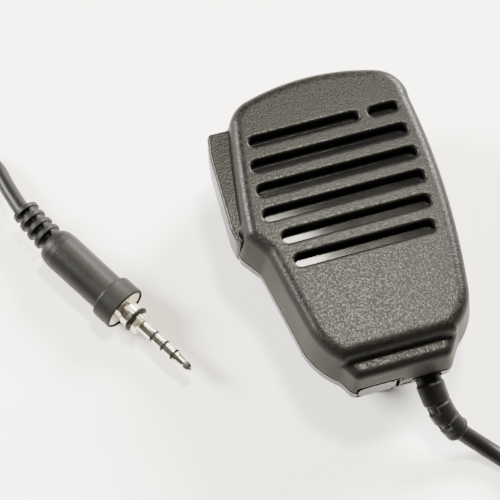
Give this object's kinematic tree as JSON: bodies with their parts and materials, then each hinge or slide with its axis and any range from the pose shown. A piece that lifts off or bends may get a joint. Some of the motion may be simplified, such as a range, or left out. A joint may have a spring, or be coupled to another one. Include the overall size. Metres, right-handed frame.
{
  "type": "hand microphone",
  "caption": "Hand speaker microphone with a slotted grille, side talk bar, covered earphone jack, turning belt clip and a straight lead to a threaded contact plug.",
  "frame": {"origin": "the outer face of the belt clip, under the middle of the case, on which the microphone rests", "axes": "+Z out of the speaker face, +Y towards the top of the case away from the lead, +X to the right seen from the front, with the talk bar at -X"},
  "size_m": [0.1562, 0.185, 0.034],
  "materials": {
    "front_plastic": "finely grained",
    "rear_plastic": "satin",
    "bar_plastic": "satin",
    "clip_plastic": "satin",
    "plug_plastic": "satin",
    "plug_boot_rubber": "matt",
    "gland_rubber": "matt",
    "seal_rubber": "matt",
    "o_ring_rubber": "glossy",
    "lead_jacket": "satin",
    "film": "glossy",
    "speaker_paper": "matt",
    "speaker_steel": "satin",
    "steel": "satin",
    "brass": "knurled",
    "jack_plastic": "satin",
    "jack_metal": "polished",
    "plug_plating": "polished",
    "contact_gold": "polished",
    "board_laminate": "satin",
    "wire": "glossy"
  },
  "bodies": {
    "case": {"front_cover": "front_plastic", "rear_cover": "rear_plastic", "plug_body": "plug_plastic", "plug_boot": "plug_boot_rubber", "strain_relief": "gland_rubber", "jack_cover_anchor": "gland_rubber", "cover_seal": "seal_rubber", "speaker_gasket": "seal_rubber", "capsule_boot": "seal_rubber", "plug_oring": "o_ring_rubber", "lead_out": "lead_jacket", "lead_coil": "lead_jacket", "lead_in": "lead_jacket", "lead_end": "lead_jacket", "grille_film": "film", "speaker_cone": "speaker_paper", "speaker_frame": "speaker_steel", "speaker_magnet": "speaker_steel", "case_screws": "steel", "talk_bar_pin": "steel", "jack_cover_pin": "steel", "speaker_screws": "steel", "speaker_ring": "steel", "board_screws": "steel", "lead_clamp_screw": "steel", "clip_pivot_screw": "steel", "mic_capsule": "steel", "screw_inserts": "brass", "earphone_jack": "jack_plastic", "talk_switch": "jack_plastic", "board_connector": "jack_plastic", "board_components": "jack_plastic", "lead_clamp": "jack_plastic", "plug_insulators": "jack_plastic", "jack_bush": "jack_metal", "plug_thread_sleeve": "plug_plating", "plug_end_ring": "plug_plating", "plug_sleeve_contact": "contact_gold", "plug_ring_contacts": "contact_gold", "plug_tip": "contact_gold", "circuit_board": "board_laminate", "lead_wires": "wire"},
    "talk_key": {"talk_bar": "bar_plastic"},
    "plunger": {"switch_plunger": "jack_plastic"},
    "jack_flap": {"jack_cover": "gland_rubber"},
    "clip_turntable": {"clip_base": "clip_plastic", "clip_spring": "steel", "clip_washer": "steel"},
    "clip_lever": {"clip_arm": "clip_plastic", "clip_pin": "steel"}
  },
  "joints": [
    {"name": "talk_bar_press", "type": "hinge", "parent": "case", "child": "talk_key", "pos_m": [-0.0259, 0.004, 0.0214], "axis": [0, 0, -1], "range_deg": [0, 2.6], "stiffness_Nm_per_rad": 1.5},
    {"name": "switch_plunge", "type": "slide", "parent": "case", "child": "plunger", "axis": [1, 0, 0], "range_m": [0, 0.00048]},
    {"name": "jack_cover_open", "type": "hinge", "parent": "case", "child": "jack_flap", "pos_m": [0.0004, -0.0431, 0.0188], "axis": [0, 0, 1], "range_deg": [0, 100]},
    {"name": "clip_swivel", "type": "hinge", "parent": "case", "child": "clip_turntable", "pos_m": [0, 0.01, 0.0094], "axis": [0, 0, 1], "continuous": true},
    {"name": "clip_open", "type": "hinge", "parent": "clip_turntable", "child": "clip_lever", "pos_m": [0, 0.0175, 0.0052], "axis": [1, 0, 0], "range_deg": [0, 15], "stiffness_Nm_per_rad": 0.4, "springref_deg": -0.11}
  ],
  "couplings": [
    {"joint": "switch_plunge", "follows": "talk_bar_press", "m_per_rad": 0.01}
  ]
}
